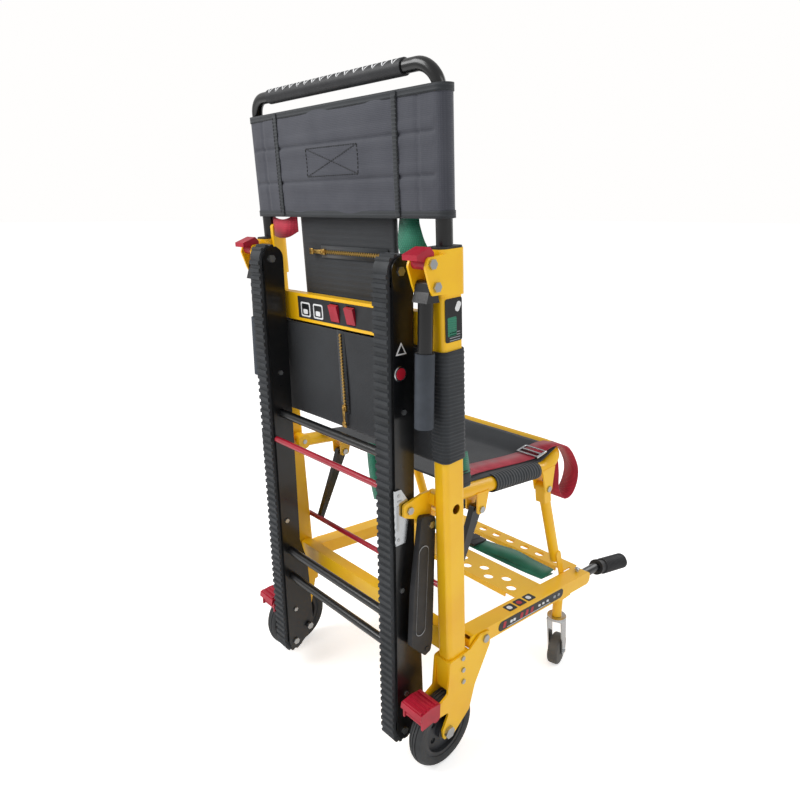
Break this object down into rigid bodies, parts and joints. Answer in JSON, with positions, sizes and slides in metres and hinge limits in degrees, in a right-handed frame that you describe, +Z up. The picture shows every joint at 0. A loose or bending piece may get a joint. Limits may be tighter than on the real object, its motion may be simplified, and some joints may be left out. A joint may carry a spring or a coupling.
{
  "type": "stair chair",
  "caption": "Folding tracked evacuation chair with a slung seat and back, toothed belt tracks, rear wheels, casters, footrest and lift handles.",
  "frame": {"origin": "on the floor, under the middle of the bounding box", "axes": "+Z up, +Y forward the way the patient faces, +X to the patient's right"},
  "size_m": [0.533, 0.7682, 1.2237],
  "materials": {
    "yellow_enamel": "gloss powder coat",
    "black_enamel": "gloss black enamel",
    "red_enamel": "gloss red enamel",
    "red_plastic": "moulded, satin",
    "black_plastic": "fine moulded texture",
    "pulley_plastic": "moulded",
    "grip_rubber": "soft matt sleeve",
    "belt_rubber": "matt, toothed",
    "tyre_rubber": "matt",
    "caster_rubber": "matt grey",
    "chromed_steel": "bright plated",
    "zinc_steel": "zinc plated",
    "dark_cloth": "coated woven cloth",
    "red_webbing": "woven webbing",
    "green_webbing": "woven webbing"
  },
  "bodies": {
    "back_frame": {"uprights": "yellow_enamel", "collars": "yellow_enamel", "upright_caps": "black_plastic", "panel_beam": "yellow_enamel", "panel_plate": "black_plastic", "lower_beam": "yellow_enamel", "wheel_brackets": "yellow_enamel", "latch_ears": "yellow_enamel", "frame_fasteners": "zinc_steel", "rear_axles": "zinc_steel", "back_sling": "dark_cloth", "upper_sling": "dark_cloth"},
    "push_handle": {"push_handle": "black_enamel", "push_grip": "grip_rubber", "head_cover": "dark_cloth"},
    "tracks": {"track_plates": "black_enamel", "track_belts": "belt_rubber", "belt_slides": "black_plastic", "track_cross_tubes": "black_enamel", "track_red_bar": "red_enamel", "track_bolts": "zinc_steel"},
    "pulleys_upper": {"track_pulleys_upper": "pulley_plastic"},
    "pulleys_lower": {"track_pulleys_lower": "pulley_plastic"},
    "seat": {"seat_frame": "yellow_enamel", "seat_sling": "dark_cloth", "seat_hangers": "yellow_enamel", "seat_bolts": "zinc_steel", "seat_belt": "red_webbing"},
    "struts": {"seat_struts": "yellow_enamel"},
    "braces": {"seat_braces": "black_enamel", "seat_lock_bar": "red_enamel"},
    "lower_frame": {"lower_rails": "yellow_enamel", "foot_plates": "yellow_enamel", "leg_strap": "green_webbing"},
    "release_lever_left": {"release_lever_left": "red_plastic"},
    "release_paddle_left": {"release_paddle_left": "red_plastic"},
    "lift_handle_left": {"lift_handle_left": "black_enamel", "lift_grip_left": "grip_rubber"},
    "stowing_arm_left": {"stowing_arm_left": "black_plastic"},
    "track_latch_left": {"track_latch_left": "chromed_steel"},
    "front_handle_left": {"front_handle_left": "black_enamel", "front_grip_left": "black_plastic"},
    "caster_fork_left": {"caster_fork_left": "chromed_steel"},
    "caster_wheel_left": {"caster_wheel_left": "caster_rubber"},
    "rear_wheel_left": {"rear_tyre_left": "tyre_rubber", "rear_hub_left": "pulley_plastic"},
    "brake_pedal_left": {"brake_pedal_left": "red_plastic"},
    "release_lever_right": {"release_lever_right": "red_plastic"},
    "release_paddle_right": {"release_paddle_right": "red_plastic"},
    "lift_handle_right": {"lift_handle_right": "black_enamel", "lift_grip_right": "grip_rubber"},
    "stowing_arm_right": {"stowing_arm_right": "black_plastic"},
    "track_latch_right": {"track_latch_right": "chromed_steel"},
    "front_handle_right": {"front_handle_right": "black_enamel", "front_grip_right": "black_plastic"},
    "caster_fork_right": {"caster_fork_right": "chromed_steel"},
    "caster_wheel_right": {"caster_wheel_right": "caster_rubber"},
    "rear_wheel_right": {"rear_tyre_right": "tyre_rubber", "rear_hub_right": "pulley_plastic"},
    "brake_pedal_right": {"brake_pedal_right": "red_plastic"}
  },
  "joints": [
    {"name": "push_handle_slide", "type": "slide", "parent": "back_frame", "child": "push_handle", "axis": [0, -0.0602, 0.9982], "range_m": [-0.04, 0]},
    {"name": "track_swing", "type": "hinge", "parent": "back_frame", "child": "tracks", "pos_m": [0, -0.3072, 0.097], "axis": [1, 0, 0], "range_deg": [0, 30]},
    {"name": "pulleys_upper_turn", "type": "hinge", "parent": "tracks", "child": "pulleys_upper", "pos_m": [0, -0.35783, 0.92386], "axis": [1, 0, 0], "continuous": true},
    {"name": "pulleys_lower_turn", "type": "hinge", "parent": "tracks", "child": "pulleys_lower", "pos_m": [0, -0.34296, 0.07199], "axis": [1, 0, 0], "continuous": true},
    {"name": "seat_fold", "type": "hinge", "parent": "back_frame", "child": "seat", "pos_m": [0, -0.2745, 0.525], "axis": [1, 0, 0], "range_deg": [0, 62]},
    {"name": "strut_fold", "type": "hinge", "parent": "seat", "child": "struts", "pos_m": [0, 0.0528, 0.45], "axis": [1, 0, 0], "range_deg": [-76.4, 0]},
    {"name": "brace_fold", "type": "hinge", "parent": "seat", "child": "braces", "pos_m": [0, -0.1662, 0.475], "axis": [1, 0, 0], "range_deg": [-59, 0]},
    {"name": "lower_frame_fold", "type": "hinge", "parent": "back_frame", "child": "lower_frame", "pos_m": [0, -0.1892, 0.229], "axis": [1, 0, 0], "range_deg": [0, 65.2]},
    {"name": "release_lever_left_press", "type": "hinge", "parent": "back_frame", "child": "release_lever_left", "pos_m": [-0.24, -0.351, 0.9374], "axis": [1, 0, 0], "range_deg": [0, 18], "stiffness_Nm_per_rad": 1.2, "springref_deg": -14.32},
    {"name": "release_paddle_left_press", "type": "hinge", "parent": "back_frame", "child": "release_paddle_left", "pos_m": [-0.014, -0.31715, 0.81622], "axis": [1, 0, 0], "range_deg": [-7, 0], "stiffness_Nm_per_rad": 0.8, "springref_deg": 11.46},
    {"name": "lift_handle_left_swing", "type": "hinge", "parent": "back_frame", "child": "lift_handle_left", "pos_m": [-0.24, -0.34097, 0.90395], "axis": [1, 0, 0], "range_deg": [-95, 0]},
    {"name": "stowing_arm_left_swing", "type": "hinge", "parent": "back_frame", "child": "stowing_arm_left", "pos_m": [-0.2175, -0.3032, 0.493], "axis": [1, 0, 0], "range_deg": [-16, 0]},
    {"name": "track_latch_left_turn", "type": "hinge", "parent": "tracks", "child": "track_latch_left", "pos_m": [-0.2034, -0.3592, 0.478], "axis": [1, 0, 0], "range_deg": [0, 30], "stiffness_Nm_per_rad": 0.4, "springref_deg": -17.19},
    {"name": "front_handle_left_slide", "type": "slide", "parent": "lower_frame", "child": "front_handle_left", "axis": [0, 0.9968, -0.0802], "range_m": [-0.04, 0]},
    {"name": "caster_left_swivel", "type": "hinge", "parent": "lower_frame", "child": "caster_fork_left", "pos_m": [-0.237, 0.09468, 0.13461], "axis": [0, 0, 1], "continuous": true},
    {"name": "caster_left_roll", "type": "hinge", "parent": "caster_fork_left", "child": "caster_wheel_left", "pos_m": [-0.23199, 0.11404, 0.035], "axis": [0.9681, -0.2504, 0], "continuous": true},
    {"name": "rear_wheel_left_roll", "type": "hinge", "parent": "back_frame", "child": "rear_wheel_left", "pos_m": [-0.24, -0.2872, 0.075], "axis": [1, 0, 0], "continuous": true},
    {"name": "brake_pedal_left_press", "type": "hinge", "parent": "back_frame", "child": "brake_pedal_left", "pos_m": [-0.24, -0.3252, 0.131], "axis": [1, 0, 0], "range_deg": [0, 12]},
    {"name": "release_lever_right_press", "type": "hinge", "parent": "back_frame", "child": "release_lever_right", "pos_m": [0.24, -0.351, 0.9374], "axis": [1, 0, 0], "range_deg": [0, 18], "stiffness_Nm_per_rad": 1.2, "springref_deg": -14.32},
    {"name": "release_paddle_right_press", "type": "hinge", "parent": "back_frame", "child": "release_paddle_right", "pos_m": [0.032, -0.31715, 0.81622], "axis": [1, 0, 0], "range_deg": [-7, 0], "stiffness_Nm_per_rad": 0.8, "springref_deg": 11.46},
    {"name": "lift_handle_right_swing", "type": "hinge", "parent": "back_frame", "child": "lift_handle_right", "pos_m": [0.24, -0.34097, 0.90395], "axis": [1, 0, 0], "range_deg": [-95, 0]},
    {"name": "stowing_arm_right_swing", "type": "hinge", "parent": "back_frame", "child": "stowing_arm_right", "pos_m": [0.2175, -0.3032, 0.493], "axis": [1, 0, 0], "range_deg": [-16, 0]},
    {"name": "track_latch_right_turn", "type": "hinge", "parent": "tracks", "child": "track_latch_right", "pos_m": [0.2034, -0.3592, 0.478], "axis": [1, 0, 0], "range_deg": [0, 30], "stiffness_Nm_per_rad": 0.4, "springref_deg": -17.19},
    {"name": "front_handle_right_slide", "type": "slide", "parent": "lower_frame", "child": "front_handle_right", "axis": [0, 0.9968, -0.0802], "range_m": [-0.04, 0]},
    {"name": "caster_right_swivel", "type": "hinge", "parent": "lower_frame", "child": "caster_fork_right", "pos_m": [0.237, 0.09468, 0.13461], "axis": [0, 0, 1], "continuous": true},
    {"name": "caster_right_roll", "type": "hinge", "parent": "caster_fork_right", "child": "caster_wheel_right", "pos_m": [0.23199, 0.11404, 0.035], "axis": [0.9681, 0.2504, 0], "continuous": true},
    {"name": "rear_wheel_right_roll", "type": "hinge", "parent": "back_frame", "child": "rear_wheel_right", "pos_m": [0.24, -0.2872, 0.075], "axis": [1, 0, 0], "continuous": true},
    {"name": "brake_pedal_right_press", "type": "hinge", "parent": "back_frame", "child": "brake_pedal_right", "pos_m": [0.24, -0.3252, 0.131], "axis": [1, 0, 0], "range_deg": [0, 12]}
  ],
  "couplings": [
    {"joint": "pulleys_lower_turn", "follows": "pulleys_upper_turn", "ratio": 1},
    {"joint": "strut_fold", "follows": "seat_fold", "ratio": -1.23},
    {"joint": "brace_fold", "follows": "seat_fold", "ratio": -0.95},
    {"joint": "lower_frame_fold", "follows": "seat_fold", "ratio": 1.05},
    {"joint": "stowing_arm_left_swing", "follows": "track_swing", "ratio": -0.51},
    {"joint": "stowing_arm_right_swing", "follows": "track_swing", "ratio": -0.51}
  ]
}
